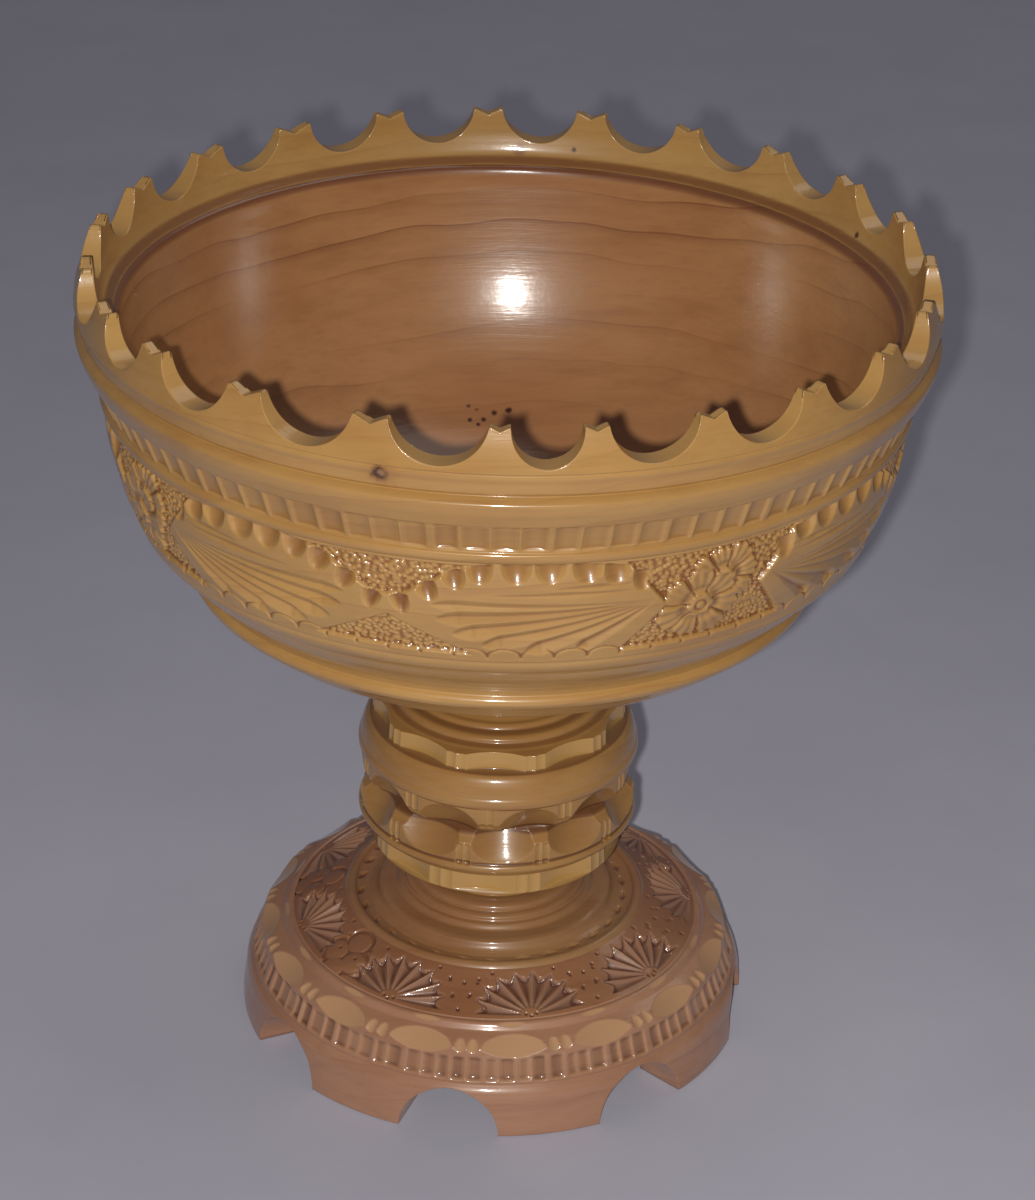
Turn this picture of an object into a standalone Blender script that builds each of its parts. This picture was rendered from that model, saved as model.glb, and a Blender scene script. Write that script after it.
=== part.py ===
"""A turned and gouge-carved wooden bowl on a stem and foot: three turned pieces glued by round tenons.

Frame: the turning axis is Z, the foot stands on Z = 0, the front of the carving layout faces -Y.
Bearings are in degrees, 0 at the front (-Y) and growing towards +X. Lengths are in millimetres until
they reach a mesh, which is in metres.
"""

import math

import bmesh
import bpy
from mathutils import Matrix, Vector

MM = 0.001

# Overall sizes.
RIM_HEIGHT = 205.8
RIM_OUTER_RADIUS = 98.5
RIM_INNER_RADIUS = 96.1
FOOT_RADIUS = 64.6

# Glue joints: the stem's two round tenons in blind holes.
JOINT_GAP = 0.3
TENON_RADIUS = 10.7
BOWL_SEAT_HEIGHT = 107.5
BOWL_HOLE_DEPTH = 7.5
FOOT_SEAT_HEIGHT = 38.3
FOOT_HOLE_DEPTH = 12.3

# Scalloped rim: (bearing, width in degrees) of each hand-cut tooth between two scallops.
TEETH = (
    (-0.7, 2.6), (11.0, 3.0), (25.9, 3.6), (41.2, 3.9), (57.4, 3.9), (73.0, 4.0), (89.5, 4.2), (105.9, 4.2),
    (121.5, 4.6), (137.2, 4.1), (152.6, 3.7), (168.1, 4.4), (183.9, 4.4), (199.2, 4.2), (215.0, 5.3),
    (231.2, 5.2), (247.8, 5.2), (263.0, 4.6), (279.0, 4.6), (294.8, 4.6), (309.4, 4.4), (326.2, 5.0),
    (343.5, 4.5),
)
SCALLOP_DEPTH = 8.5
NICK_SHARE = 0.85
NICK_SLOPE = 0.46

# Knop: two rows of gouge scoops that run in to a groove round its middle.
KNOP_SCOOPS = 11
KNOP_GROOVE_HEIGHT = 66.8
KNOP_SCOOP_RADIUS = 15.0
KNOP_SCOOP_DEPTH = 4.3
UPPER_SCOOP_TOP = 74.6
UPPER_SCOOP_BEARING = 12.4
LOWER_SCOOP_BOTTOM = 58.6
LOWER_SCOOP_BEARING = 3.0

# Foot: gouge cuts over its top edge, and arches that leave eight short legs.
EDGE_CUTS = 16
EDGE_CUT_BEARING = 5.5
EDGE_CUT_RADIUS = 42.0
EDGE_CUT_DEPTH = 1.15
EDGE_CUT_LEAN = 38.0
EDGE_CUT_FACETS = 96
LEGS = 8
LEG_BEARING = 13.5
ARCH_RADIUS = 12.4
ARCH_CENTRE_HEIGHT = -0.2
HOLLOW_RADIUS = 51.0
HOLLOW_HEIGHT = 11.5

# Facets round each turned piece.
BOWL_FACETS = 70
STEM_FACETS = 42
FOOT_FACETS = 62
CUT_FACETS = 20

HONEY_WOOD = (0.47, 0.25, 0.075, 1.0)
RED_WOOD = (0.36, 0.155, 0.07, 1.0)
LACQUER_ROUGHNESS = 0.25

# Outlines, (radius, height) from the axis round the outside and back to the axis.
BOWL_INSIDE = (
    (0, 122.0), (24, 122.6), (45, 126.2), (60, 132.8), (71, 141.6), (78.6, 152.0), (83.6, 163.0),
    (87.4, 176.0), (89.6, 187.5), (90.0, 191.2), (91.7, 192.4), (94.2, 194.8), (95.2, 198.0),
)
BOWL_OUTSIDE = (
    (99.8, 201.5), (100.7, 196.3), (100.2, 195.2), (99.5, 191.2), (98.9, 190.2), (100.7, 189.2),
    (100.8, 188.0), (98.7, 183.4), (98.0, 182.8),
    (95.2, 175.7), (95.8, 174.8), (95.4, 173.2), (94.3, 172.2), (94.5, 168.0), (93.6, 161.0), (91.8, 154.0),
    (89.6, 148.2), (88.2, 144.6), (84.6, 140.4), (83.4, 139.8), (79.8, 134.8), (76.2, 133.4), (73.8, 130.0),
    (75.8, 129.2), (75.4, 127.4), (70.6, 122.4), (64.0, 117.8), (55.0, 113.6), (42.0, 110.0), (28.0, 107.9),
    (22.0, BOWL_SEAT_HEIGHT),
)
STEM_OUTSIDE = (
    (16.6, 104.5), (16.9, 98.0), (18.8, 93.4), (20.8, 91.6), (22.8, 91.2), (24.0, 90.2), (26.2, 89.6),
    (27.4, 88.8), (30.6, 88.4), (31.9, 87.8), (32.2, 84.4), (33.0, 82.6), (33.9, 80.4), (34.4, 77.8),
    (34.8, 76.2), (34.6, 74.4), (34.4, 69.6), (31.4, KNOP_GROOVE_HEIGHT), (34.2, 64.2), (34.4, 59.6),
    (34.0, 58.9), (34.6, 58.2), (34.6, 56.9), (34.0, 56.2), (32.2, 54.2), (31.6, 52.6), (30.2, 48.6),
    (28.2, 47.4), (22.4, 45.8), (18.4, 43.0), (17.4, 40.6),
)
FOOT_OUTSIDE = (
    (18.8, FOOT_SEAT_HEIGHT), (20.8, 37.4), (21.2, 36.5), (22.7, 35.9), (23.1, 35.0), (24.4, 34.3),
    (26.4, 33.1), (29.2, 33.5), (32.4, 30.5), (35.3, 31.2), (36.9, 32.0), (38.4, 31.1), (51.6, 25.5),
    (53.2, 25.1), (54.6, 23.7), (58.2, 22.4), (59.4, 21.0), (62.1, 13.9), (61.9, 13.2), (62.8, 12.4),
    (64.0, 6.5), (FOOT_RADIUS, 1.6),
    (FOOT_RADIUS, 0.0),
)


def clear_scene():
    for item in list(bpy.data.objects):
        bpy.data.objects.remove(item, do_unlink=True)


def lacquered_wood(name, colour):
    """A Principled material for clear-lacquered wood of one colour."""
    material = bpy.data.materials.new(name)
    material.use_nodes = True
    shader = material.node_tree.nodes["Principled BSDF"]
    shader.inputs["Base Color"].default_value = colour
    shader.inputs["Roughness"].default_value = LACQUER_ROUGHNESS
    shader.inputs["Metallic"].default_value = 0.0
    material.diffuse_color = colour
    return material


def polar(radius, bearing, height):
    """The point at a bearing in degrees, 0 at -Y and growing towards +X. Millimetres in, metres out."""
    angle = math.radians(bearing)
    return Vector((radius * math.sin(angle), -radius * math.cos(angle), height)) * MM


def new_object(name, mesh, material=None):
    item = bpy.data.objects.new(name, mesh)
    bpy.context.scene.collection.objects.link(item)
    if material:
        mesh.materials.append(material)
    return item


def turned(name, outline, facets, material):
    """A solid of revolution from an outline that starts and ends on the axis."""
    mesh = bpy.data.meshes.new(name)
    shape = bmesh.new()
    step = 360.0 / facets
    rings = []
    for radius, height in outline:
        if radius == 0:
            rings.append([shape.verts.new(polar(0, 0, height))])
        else:
            rings.append([shape.verts.new(polar(radius, i * step, height)) for i in range(facets)])
    for upper, lower in zip(rings, rings[1:]):
        for i in range(facets):
            j = (i + 1) % facets
            if len(upper) == 1:
                shape.faces.new((upper[0], lower[i], lower[j]))
            elif len(lower) == 1:
                shape.faces.new((upper[j], upper[i], lower[0]))
            else:
                shape.faces.new((upper[i], lower[i], lower[j], upper[j]))
    bmesh.ops.recalc_face_normals(shape, faces=shape.faces)
    shape.to_mesh(mesh)
    shape.free()
    mesh.shade_smooth()
    mesh.set_sharp_from_angle(angle=math.radians(35))
    return new_object(name, mesh, material)


def add_rod(shape, start, end, radius, facets=CUT_FACETS):
    """Adds a closed round rod between two points to a bmesh; the radius is in millimetres."""
    axis = end - start
    turn = axis.to_track_quat("Z", "X").to_matrix().to_4x4()
    place = Matrix.Translation((start + end) / 2) @ turn
    bmesh.ops.create_cone(
        shape,
        cap_ends=True,
        cap_tris=False,
        segments=facets,
        radius1=radius * MM,
        radius2=radius * MM,
        depth=axis.length,
        matrix=place,
    )


def cut(target, name, shape):
    """Turns a bmesh of closed shapes into a hidden cutter and takes it out of the target."""
    mesh = bpy.data.meshes.new(name)
    shape.to_mesh(mesh)
    shape.free()
    cutter = new_object(name, mesh)
    cutter.hide_render = True
    cutter.display_type = "WIRE"
    cutter.parent = target
    modifier = target.modifiers.new(name, "BOOLEAN")
    modifier.operation = "DIFFERENCE"
    modifier.solver = "EXACT"
    modifier.object = cutter


def rim_scallops():
    """Radial rods, one for each gap between two teeth, as wide as the gap allows."""
    shape = bmesh.new()
    first = (TEETH[0][0] + 360, TEETH[0][1])
    for (left, left_width), (right, right_width) in zip(TEETH, (*TEETH[1:], first)):
        start_bearing = left + left_width / 2
        end_bearing = right - right_width / 2
        half = math.radians(end_bearing - start_bearing) * RIM_OUTER_RADIUS / 2
        radius = (half * half + SCALLOP_DEPTH**2) / (2 * SCALLOP_DEPTH)
        height = RIM_HEIGHT - SCALLOP_DEPTH + radius
        middle = (start_bearing + end_bearing) / 2
        start = polar(RIM_INNER_RADIUS - 8, middle, height)
        end = polar(RIM_OUTER_RADIUS + 6, middle, height)
        add_rod(shape, start, end, radius)
    return shape


def tooth_nicks():
    """A V notch over the top of each tooth."""
    shape = bmesh.new()
    rise = 1.0
    for bearing, width in TEETH:
        half = width / 2 * NICK_SHARE
        depth = math.radians(half) * RIM_OUTER_RADIUS * NICK_SLOPE
        spread = half * (depth + rise) / depth
        ends = []
        for radius in (RIM_INNER_RADIUS - 4, RIM_OUTER_RADIUS + 3):
            corners = (
                polar(radius, bearing - spread, RIM_HEIGHT + rise),
                polar(radius, bearing, RIM_HEIGHT - depth),
                polar(radius, bearing + spread, RIM_HEIGHT + rise),
            )
            ends.append([shape.verts.new(corner) for corner in corners])
        inner, outer = ends
        shape.faces.new(inner)
        shape.faces.new(reversed(outer))
        for i in range(3):
            j = (i + 1) % 3
            shape.faces.new((inner[j], inner[i], outer[i], outer[j]))
    bmesh.ops.recalc_face_normals(shape, faces=shape.faces)
    return shape


def knop_scoops(first_bearing, far_height):
    """Sloping rods that start flush at far_height and are deepest where they meet the knop's groove."""
    shape = bmesh.new()
    knop_radius = 34.5
    rise = far_height - KNOP_GROOVE_HEIGHT
    run_out = 1.4
    start_axis = knop_radius + KNOP_SCOOP_RADIUS - KNOP_SCOOP_DEPTH
    end_axis = start_axis + KNOP_SCOOP_DEPTH * run_out
    for i in range(KNOP_SCOOPS):
        bearing = first_bearing + i * 360.0 / KNOP_SCOOPS
        near = polar(start_axis, bearing, KNOP_GROOVE_HEIGHT)
        far = polar(end_axis, bearing, KNOP_GROOVE_HEIGHT + rise * run_out)
        add_rod(shape, near, far, KNOP_SCOOP_RADIUS, 28)
    return shape


def edge_cuts():
    """Rods sloping down and outwards that scoop the foot's top edge."""
    shape = bmesh.new()
    edge_radius, edge_height = 58.9, 22.0
    lean = math.radians(EDGE_CUT_LEAN)
    lift = EDGE_CUT_RADIUS - EDGE_CUT_DEPTH
    axis_radius = edge_radius + lift * math.sin(lean)
    axis_height = edge_height + lift * math.cos(lean)
    reach = 12.0
    for i in range(EDGE_CUTS):
        bearing = EDGE_CUT_BEARING + i * 360.0 / EDGE_CUTS
        start = polar(axis_radius - reach * math.cos(lean), bearing, axis_height + reach * math.sin(lean))
        end = polar(axis_radius + reach * math.cos(lean), bearing, axis_height - reach * math.sin(lean))
        add_rod(shape, start, end, EDGE_CUT_RADIUS, EDGE_CUT_FACETS)
    return shape


def foot_arches():
    """Radial rods at floor level, halfway between the legs."""
    shape = bmesh.new()
    pitch = 360.0 / LEGS
    for i in range(LEGS):
        bearing = LEG_BEARING + (i + 0.5) * pitch
        start = polar(HOLLOW_RADIUS - 8, bearing, ARCH_CENTRE_HEIGHT)
        end = polar(FOOT_RADIUS + 6, bearing, ARCH_CENTRE_HEIGHT)
        add_rod(shape, start, end, ARCH_RADIUS, 28)
    return shape


def make_bowl(material):
    hole_radius = TENON_RADIUS + JOINT_GAP
    hole_end = BOWL_SEAT_HEIGHT + BOWL_HOLE_DEPTH
    crest = ((RIM_INNER_RADIUS, RIM_HEIGHT), (RIM_OUTER_RADIUS, RIM_HEIGHT))
    hole = ((hole_radius, BOWL_SEAT_HEIGHT), (hole_radius, hole_end), (0, hole_end))
    bowl = turned("bowl", (*BOWL_INSIDE, *crest, *BOWL_OUTSIDE, *hole), BOWL_FACETS, material)
    cut(bowl, "rim_scallop_cutter", rim_scallops())
    cut(bowl, "tooth_nick_cutter", tooth_nicks())
    return bowl


def make_stem(material):
    top = BOWL_SEAT_HEIGHT - JOINT_GAP
    bottom = FOOT_SEAT_HEIGHT + JOINT_GAP
    tenon_top = BOWL_SEAT_HEIGHT + BOWL_HOLE_DEPTH - JOINT_GAP
    tenon_bottom = FOOT_SEAT_HEIGHT - FOOT_HOLE_DEPTH + JOINT_GAP
    upper = ((0, tenon_top), (TENON_RADIUS, tenon_top), (TENON_RADIUS, top), (16.8, top))
    lower = ((17.3, bottom), (TENON_RADIUS, bottom), (TENON_RADIUS, tenon_bottom), (0, tenon_bottom))
    stem = turned("stem", (*upper, *STEM_OUTSIDE, *lower), STEM_FACETS, material)
    cut(stem, "upper_scoop_cutter", knop_scoops(UPPER_SCOOP_BEARING, UPPER_SCOOP_TOP))
    cut(stem, "lower_scoop_cutter", knop_scoops(LOWER_SCOOP_BEARING, LOWER_SCOOP_BOTTOM))
    return stem


def make_foot(material):
    hole_radius = TENON_RADIUS + JOINT_GAP
    hole_end = FOOT_SEAT_HEIGHT - FOOT_HOLE_DEPTH
    hole = ((0, hole_end), (hole_radius, hole_end), (hole_radius, FOOT_SEAT_HEIGHT))
    hollow = ((HOLLOW_RADIUS + 1, 0), (HOLLOW_RADIUS, HOLLOW_HEIGHT - 2), (HOLLOW_RADIUS - 3, HOLLOW_HEIGHT))
    foot = turned("foot", (*hole, *FOOT_OUTSIDE, *hollow, (0, HOLLOW_HEIGHT)), FOOT_FACETS, material)
    cut(foot, "edge_cutter", edge_cuts())
    cut(foot, "arch_cutter", foot_arches())
    return foot


clear_scene()
honey_wood = lacquered_wood("honey_wood", HONEY_WOOD)
red_wood = lacquered_wood("red_wood", RED_WOOD)
make_bowl(honey_wood)
make_stem(honey_wood)
make_foot(red_wood)
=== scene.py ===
"""Looks of a turned and gouge-carved wooden bowl on a stem and foot.

Every surface is a turned outline laid out as a grid of rows along the outline and columns round the axis.
The carving is cut into the grid: gouge strokes, V cuts, punched ground and petals lower the surface along its
normal, and round gouge cuts push it back to a cylinder. Lengths are in millimetres until they reach a mesh.
Bearings are in degrees, 0 at the front (-Y) and growing towards +X.
"""

import math

import bpy
import numpy as np
from mathutils import Matrix, Vector


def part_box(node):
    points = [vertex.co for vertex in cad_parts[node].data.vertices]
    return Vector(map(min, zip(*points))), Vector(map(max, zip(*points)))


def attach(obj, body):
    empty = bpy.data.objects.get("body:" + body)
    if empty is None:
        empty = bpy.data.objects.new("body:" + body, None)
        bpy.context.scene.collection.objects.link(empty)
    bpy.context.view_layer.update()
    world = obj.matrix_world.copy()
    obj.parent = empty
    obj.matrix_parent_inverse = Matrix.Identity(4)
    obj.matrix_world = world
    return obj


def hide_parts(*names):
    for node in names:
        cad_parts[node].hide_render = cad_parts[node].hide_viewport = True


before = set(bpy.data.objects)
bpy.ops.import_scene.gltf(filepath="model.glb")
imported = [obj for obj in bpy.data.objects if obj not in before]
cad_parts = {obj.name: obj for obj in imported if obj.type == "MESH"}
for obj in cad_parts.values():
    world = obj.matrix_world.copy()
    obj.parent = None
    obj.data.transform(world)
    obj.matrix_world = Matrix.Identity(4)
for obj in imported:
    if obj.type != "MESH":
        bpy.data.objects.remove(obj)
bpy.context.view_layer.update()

MM = 0.001
RIM_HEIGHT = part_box("bowl")[1].z / MM
BOWL_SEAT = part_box("bowl")[0].z / MM
FOOT_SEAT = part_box("foot")[1].z / MM
FLOOR_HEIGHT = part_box("foot")[0].z / MM
TURN = 360.0

# Camera: its place in metres, how far it looks down, its small turn and tilt in radians, and its lens.
CAMERA_PLACE = (0.0, -0.6914, 0.4814)
CAMERA_DOWN = 0.4886
CAMERA_TURN = 0.0056
CAMERA_TILT = 0.0275
CAMERA_LENS = 96.0

# Rim: (bearing, width in degrees) of each hand-cut tooth between two scallops.
TEETH = (
    (-0.7, 2.6), (11.0, 3.0), (25.9, 3.6), (41.2, 3.9), (57.4, 3.9), (73.0, 4.0), (89.5, 4.2), (105.9, 4.2),
    (121.5, 4.6), (137.2, 4.1), (152.6, 3.7), (168.1, 4.4), (183.9, 4.4), (199.2, 4.2), (215.0, 5.3),
    (231.2, 5.2), (247.8, 5.2), (263.0, 4.6), (279.0, 4.6), (294.8, 4.6), (309.4, 4.4), (326.2, 5.0),
    (343.5, 4.5),
)
CREST_INNER_RADIUS = 96.1
CREST_OUTER_RADIUS = 98.5
SCALLOP_DEPTH = 8.5
NICK_SHARE = 0.85
NICK_SLOPE = 0.46
CROWN_LINE = 196.3
CROWN_LINE_RADIUS = 100.7
LEDGE_RADIUS = 91.7
LEDGE_HEIGHT = 192.4
RIM_EDGE_ROUND = 0.3
RIM_INNER_ROWS = 24

# Flute band under the rim.
FLUTES = 96
FLUTE_TOP = 182.7
FLUTE_BOTTOM = 175.7
FLUTE_SHARE = 0.86
FLUTE_DEPTH = 0.8

# Frieze: four junctions where leaves meet tip to tip, and a pair of flowers halfway between them.
# Bead steps are (degrees from the junction, height) of the beads of a garland.
FRIEZE_RADIUS = 92.5
JUNCTIONS = (-15.3, 74.7, 164.7, 254.7)
FRIEZE_TOP = 172.3
FRIEZE_FOOT = 147.2
BEAD_STEPS = (
    (1.7, 160.6), (5.2, 164.4), (8.7, 168.0), (12.4, 169.8), (17.0, 170.2), (21.6, 170.2), (26.3, 170.0),
    (30.6, 169.3), (34.3, 166.9),
)
BEAD_WIDTHS = (4.4, 5.0, 5.6, 6.2, 7.0, 7.2, 7.0, 6.6, 5.8)
# Cuts of a leaf: (degrees from the junction and height of the far end, width).
LEAF_CUTS = (
    (5.4, 161.4, 3.4), (6.2, 157.6, 4.8), (9.0, 153.6, 5.4), (13.4, 150.6, 5.6), (19.4, 149.0, 5.2),
    (26.0, 149.2, 4.4),
)
LUNETTE_PITCH = 4.7
GROUND_DEPTH = 1.5


# ---------------------------------------------------------------- outlines


def curve(points, step):
    """Points about a step apart on a smooth curve through the given (radius, height) points."""
    p = np.array(points, float)
    if len(p) == 2:
        count = max(1, int(np.ceil(np.linalg.norm(p[1] - p[0]) / step)))
        return p[0] + (p[1] - p[0]) * np.linspace(0, 1, count + 1)[:, None]
    chord = np.linalg.norm(np.diff(p, axis=0), axis=1)
    knots = np.concatenate([[0], np.cumsum(chord)])
    slope = np.gradient(p, knots, axis=0)
    fine = np.linspace(0, knots[-1], max(2, int(np.ceil(knots[-1] / step))) + 1)
    i = np.clip(np.searchsorted(knots, fine, "right") - 1, 0, len(p) - 2)
    h = (knots[i + 1] - knots[i])[:, None]
    t = ((fine - knots[i]) / (knots[i + 1] - knots[i]))[:, None]
    start, end = p[i], p[i + 1]
    return (
        start * (2 * t**3 - 3 * t**2 + 1)
        + end * (3 * t**2 - 2 * t**3)
        + h * slope[i] * (t**3 - 2 * t**2 + t)
        + h * slope[i + 1] * (t**3 - t**2)
    )


def outline(step, *curves):
    """Curves joined end to start with a crisp corner between them; each is a list of (radius, height)."""
    made = [curve(curves[0], step)]
    for points in curves[1:]:
        joined = [tuple(made[-1][-1]), *points]
        made.append(curve(joined, step)[1:])
    return np.concatenate(made)


# ---------------------------------------------------------------- relief grids


def even_bearings(count):
    """Bearings of the grid's columns over a full turn, without the last one, which is the first again."""
    return np.linspace(-TURN / 2, TURN / 2, count, endpoint=False)


def smooth_step(x):
    x = np.clip(x, 0, 1)
    return x * x * (3 - 2 * x)


class Relief:
    """A turned surface as a grid of rows along its outline and columns round the axis."""

    def __init__(self, line, bearings):
        self.bearing = bearings
        step = np.gradient(line, axis=0)
        length = np.linalg.norm(step, axis=1)
        self.line = line
        self.along = np.concatenate([[0], np.cumsum(np.linalg.norm(np.diff(line, axis=0), axis=1))])
        self.normal = np.stack([-step[:, 1], step[:, 0]], 1) / length[:, None]
        self.radius = np.repeat(line[:, :1], len(bearings), 1)
        self.height = np.repeat(line[:, 1:], len(bearings), 1)
        self.depth = np.zeros((len(line), len(bearings)))
        # Where cut facets take the cut colour, which is partly the cut wood's own lighter tone and partly a
        # painted highlight.
        self.cut_tone_and_highlight = np.zeros((len(line), len(bearings)))
        # Painted shade: extra darkness laid into creases and scoops, added to the value that darkens grooves.
        self.painted_shade = np.zeros((len(line), len(bearings)))

    def at_height(self, height):
        """How far along the outline a height is, on a wall that only falls or only rises."""
        order = np.argsort(self.line[:, 1])
        return float(np.interp(height, self.line[order, 1], self.along[order]))

    def at_radius(self, radius):
        order = np.argsort(self.line[:, 0])
        return float(np.interp(radius, self.line[order, 0], self.along[order]))

    def turn_from(self, bearing):
        """Signed degrees from a bearing to each column."""
        return (self.bearing - bearing + TURN / 2) % TURN - TURN / 2

    def window(self, bearing, along, reach):
        """Rows and columns within reach of a spot, and how far across and along each point is from it."""
        rows = np.nonzero(np.abs(self.along - along) <= reach)[0]
        radius = max(float(np.interp(along, self.along, self.line[:, 0])), 1.0)
        turn = self.turn_from(bearing)
        columns = np.nonzero(np.abs(turn) <= math.degrees(reach / radius))[0]
        if not len(rows) or not len(columns):
            return None
        spread = np.radians(turn[columns])
        across = self.line[rows, 0][:, None] * spread[None, :]
        down = np.repeat((self.along[rows] - along)[:, None], len(columns), 1)
        return np.ix_(rows, columns), across, down

    def carve(self, bearing, along, reach, shape, cut_tone_and_highlight=0.0):
        """Lowers the surface to shape(across, down) where that is deeper than it is already."""
        found = self.window(bearing, along, reach)
        if found:
            cells, across, down = found
            hollow = shape(across, down)
            self.depth[cells] = np.maximum(self.depth[cells], hollow)
            # Cuts take the cut colour: partly the cut wood's own tone, partly a painted highlight.
            self.cut_tone_and_highlight[cells] = np.maximum(self.cut_tone_and_highlight[cells], cut_tone_and_highlight * smooth_step(hollow / 0.15))

    def mould(self, bearing, along, reach, shape):
        """Replaces the depth by shape(across, down, depth so far)."""
        found = self.window(bearing, along, reach)
        if found:
            cells, across, down = found
            self.depth[cells] = shape(across, down, self.depth[cells])

    def press(self):
        """Applies the carved depths along the outline's normal."""
        self.radius -= self.depth * self.normal[:, :1]
        self.height -= self.depth * self.normal[:, 1:]
        return self

    def round_cut(self, bearing, axis, lean, cut_radius, low=-1e9, high=1e9):
        """Pushes the surface back to a cylinder whose axis runs through a (radius, height) point.

        The axis lies in the plane of that bearing, and lean is the angle in degrees that the outward side of
        the cut makes above the horizon: 0 for a vertical axis, 90 for a level one.
        """
        turn = self.turn_from(bearing)
        columns = np.nonzero(np.abs(turn) < 60)[0]
        out = (math.cos(math.radians(lean)), math.sin(math.radians(lean)))
        side = self.radius[:, columns] * np.sin(np.radians(turn[columns]))[None, :]
        ahead = self.radius[:, columns] * np.cos(np.radians(turn[columns]))[None, :]
        level = self.height[:, columns]
        inside = (axis[0] - ahead) * out[0] + (axis[1] - level) * out[1]
        bottom = np.sqrt(np.maximum(cut_radius**2 - side**2, 0))
        reached = (np.abs(side) < cut_radius) & (inside < bottom) & (inside > -cut_radius)
        reached = reached & (level >= low) & (level <= high)
        push = np.where(reached, bottom - inside, 0)
        ahead = ahead - push * out[0]
        self.radius[:, columns] = np.hypot(side, ahead)
        self.height[:, columns] = level - push * out[1]
        # The round cut takes the cut colour, partly a painted highlight.
        self.cut_tone_and_highlight[:, columns] = np.maximum(self.cut_tone_and_highlight[:, columns], smooth_step(push / 0.12))

    def scoop(self, bearing, wall, ends, depth, cut_radius):
        """Pushes a wall back to a gouge stroke that starts at one height and is deepest at the other."""
        turn = self.turn_from(bearing)
        columns = np.nonzero(np.abs(turn) < 40)[0]
        side = self.radius[:, columns] * np.sin(np.radians(turn[columns]))[None, :]
        ahead = self.radius[:, columns] * np.cos(np.radians(turn[columns]))[None, :]
        start, deep = ends
        share = (self.height[:, columns] - start) / (deep - start)
        run = share * abs(deep - start)
        hollow = depth * share + 0.45 * (1 - np.exp(-run / 0.8))
        rise = cut_radius - np.sqrt(np.maximum(cut_radius**2 - side**2, 0))
        push = np.where((share > 0) & (share <= 1), np.maximum(ahead - (wall - hollow + rise), 0), 0)
        self.radius[:, columns] = np.hypot(side, ahead - push)
        self.cut_tone_and_highlight[:, columns] *= 1 - smooth_step(push / 0.12)
        # Painted shade inside the scoop, darker where the cut is deeper.
        shade = smooth_step(push / 0.4) * (0.12 + 0.13 * share)
        self.painted_shade[:, columns] = np.maximum(self.painted_shade[:, columns], shade)

    def shade_and_ridge_highlight(self):
        """Depth against the mean depth near by, plus painted shade: -1 on sharp ridges (painted highlight), 1
        in narrow grooves (painted shade).
        """
        blurred = self.depth
        for _ in range(6):
            sides = np.roll(blurred, 2, 1) + np.roll(blurred, -2, 1)
            ends = np.concatenate([blurred[:1], blurred[:-1]]) + np.concatenate([blurred[1:], blurred[-1:]])
            blurred = (2 * blurred + sides + ends) / 6
        return np.clip((self.depth - blurred) / 0.35 + self.painted_shade, -1, 1)

    def add_painted_shade(self, low, high, amount):
        """Adds painted shade in a band between two heights."""
        middle, half = (low + high) / 2, (high - low) / 2
        self.painted_shade += amount * smooth_step(1.6 - 1.6 * np.abs(self.height - middle) / half)

    def points(self):
        angle = np.radians(self.bearing)[None, :]
        grid = np.stack([self.radius * np.sin(angle), -self.radius * np.cos(angle), self.height], -1)
        return grid * MM


def ready_relief(rows, bearings):
    """A surface given as rows of (radius, height) at every bearing, instead of one outline to carve."""
    outline_of_first = np.array([(np.ravel(radius)[0], np.ravel(height)[0]) for radius, height in rows])
    relief = Relief(outline_of_first, bearings)
    relief.radius = np.array([row[0] for row in rows])
    relief.height = np.array([row[1] for row in rows])
    return relief


def grid_mesh(name, points):
    """A mesh of quads from a grid of points; the outward side is on the left of the outline's direction."""
    rows, columns = points.shape[:2]
    here = np.arange(rows * columns).reshape(rows, columns)
    after = np.roll(here, -1, 1)
    quads = np.stack([here[:-1], here[1:], after[1:], after[:-1]], -1).reshape(-1, 4)
    mesh = bpy.data.meshes.new(name)
    mesh.vertices.add(rows * columns)
    mesh.vertices.foreach_set("co", points.reshape(-1).astype(np.float32))
    mesh.loops.add(quads.size)
    mesh.loops.foreach_set("vertex_index", quads.reshape(-1).astype(np.int32))
    mesh.polygons.add(len(quads))
    mesh.polygons.foreach_set("loop_start", np.arange(0, quads.size, 4, dtype=np.int32))
    mesh.update(calc_edges=True)
    mesh.validate()
    mesh.shade_smooth()
    return mesh


def piece(name, relief, material, node):
    """Makes the carved surface an object that rides on the frame and stands for its CAD node."""
    mesh = grid_mesh(name, relief.points())
    # These attributes drive painted shade in grooves, a painted highlight on ridges, and the cut colour.
    for kind, values in (("hollow", relief.shade_and_ridge_highlight()), ("cut_tone_and_highlight", relief.cut_tone_and_highlight)):
        attribute = mesh.attributes.new(kind, "FLOAT", "POINT")
        attribute.data.foreach_set("value", values.reshape(-1).astype(np.float32))
    mesh.materials.append(material)
    item = bpy.data.objects.new(name, mesh)
    bpy.context.scene.collection.objects.link(item)
    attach(item, "root")
    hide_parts(node)
    return item


# ---------------------------------------------------------------- tool marks


def turned_frame(across, down, angle):
    """Local axes of a stroke: t along it and s across it. Angle 0 goes down, 90 towards +bearing."""
    c, s = math.cos(math.radians(angle)), math.sin(math.radians(angle))
    return down * c + across * s, across * c - down * s


def gouge_stroke(length, width, depth, angle=0.0):
    """A thumbnail cut: a stop cut at its deep end, running out to a round end."""

    def shape(across, down):
        t, s = turned_frame(across, down, angle)
        hollow = depth * (1 - (np.maximum(t, 0) / length) ** 2 - (2 * s / width) ** 2)
        return np.maximum(hollow, 0) * smooth_step(t / 0.5 + 0.4)

    return shape


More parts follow.
